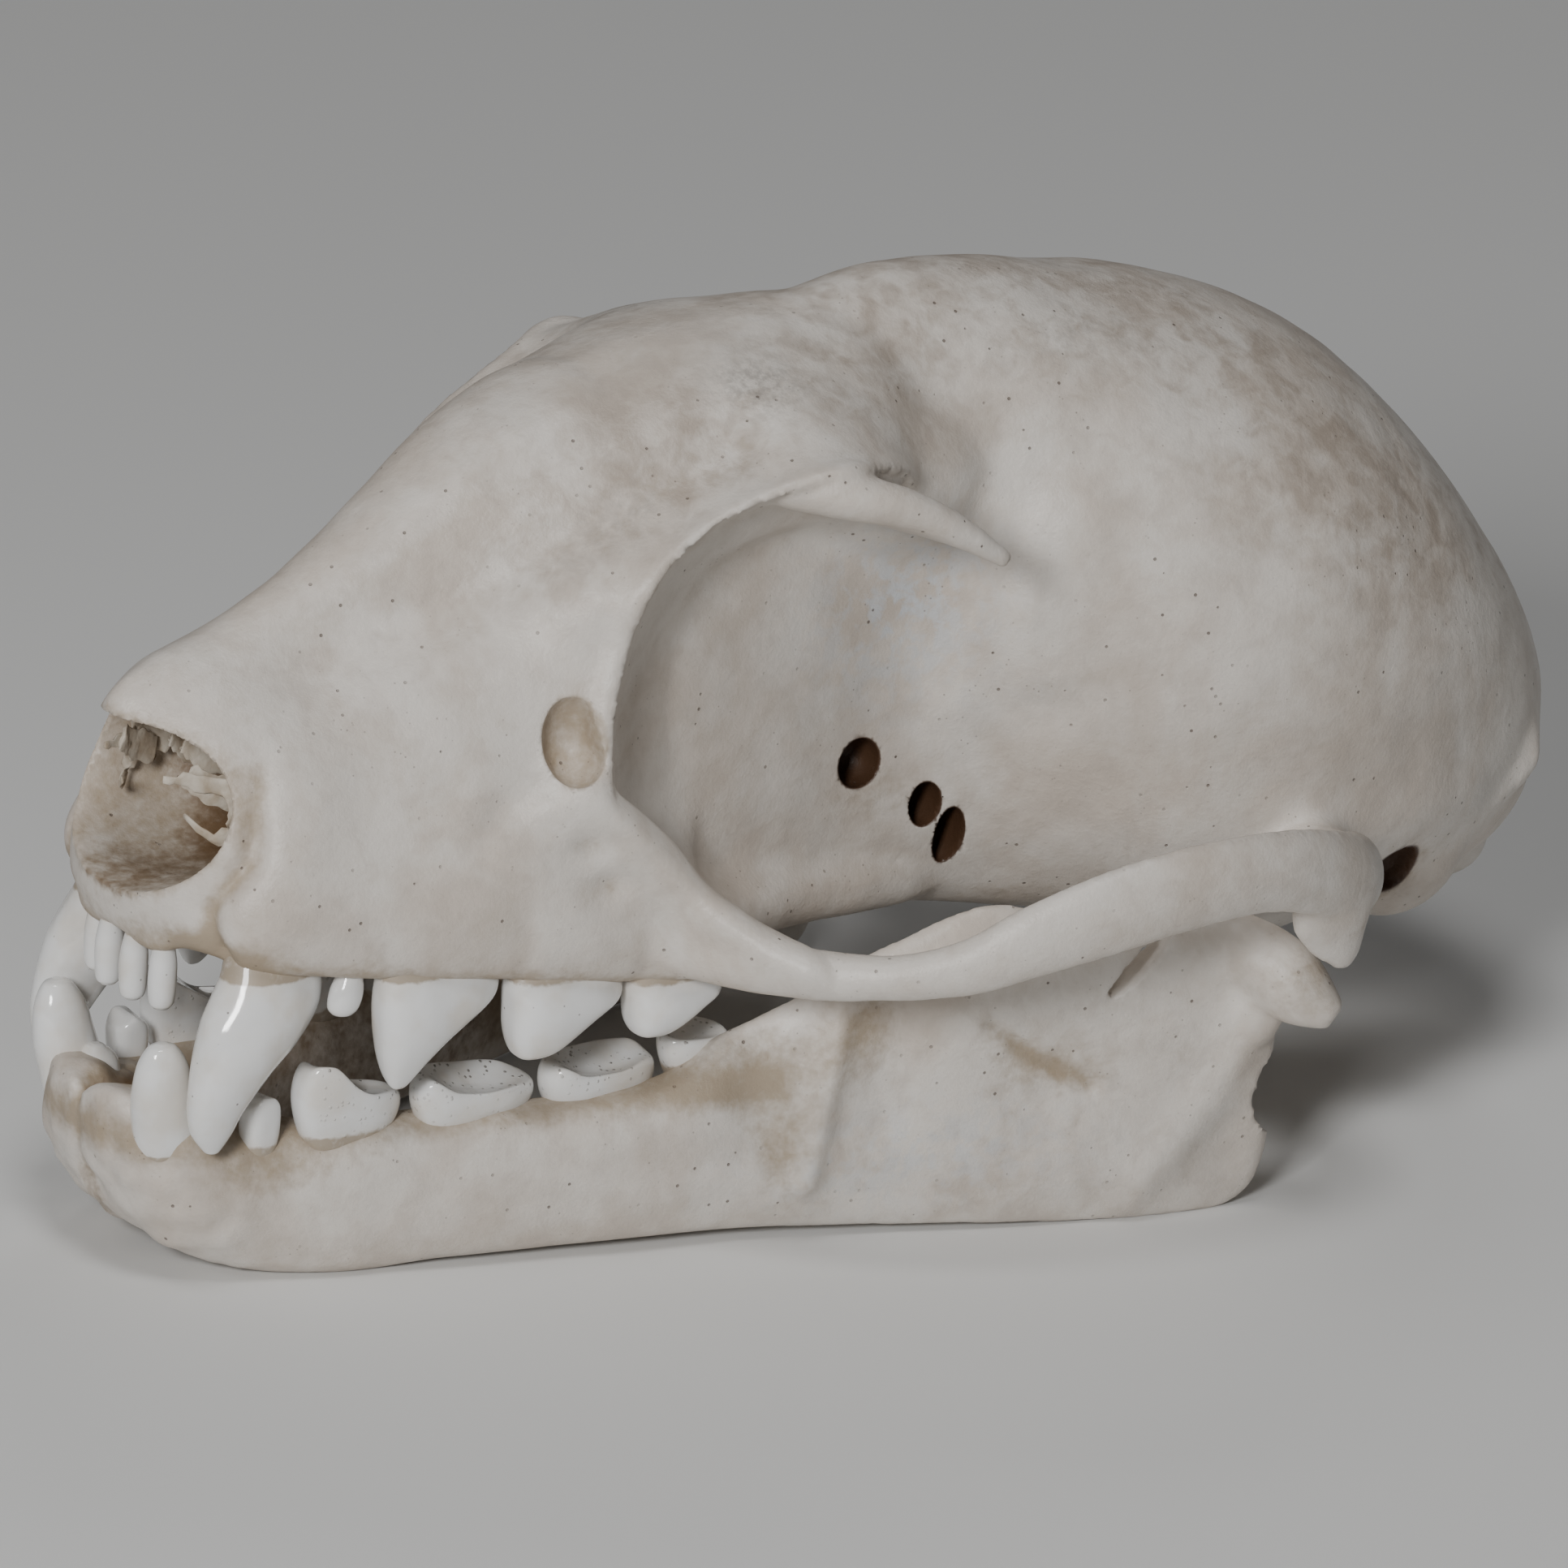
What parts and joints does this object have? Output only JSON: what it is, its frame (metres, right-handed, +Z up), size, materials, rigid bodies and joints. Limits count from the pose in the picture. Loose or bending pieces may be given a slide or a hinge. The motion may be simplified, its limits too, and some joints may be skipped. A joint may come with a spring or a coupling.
{
  "type": "bat skull",
  "caption": "Small fruit bat skull with open jaws: domed braincase, round eye sockets, cheek arches, short snout, pointed eye teeth, resting on its lower jaw.",
  "frame": {"origin": "on the floor under the middle of the skull's bounding box", "axes": "+X from the snout to the back of the head, +Y to the skull's right side, +Z up"},
  "size_m": [0.032, 0.0206, 0.017],
  "materials": {
    "bone": "dry, clean, matte bone with slightly glossy teeth"
  },
  "bodies": {
    "root": {"braincase": "bone", "rostrum": "bone", "zygomatic_arch_left": "bone", "zygomatic_arch_right": "bone", "mandible_left": "bone", "mandible_right": "bone"}
  },
  "joints": []
}
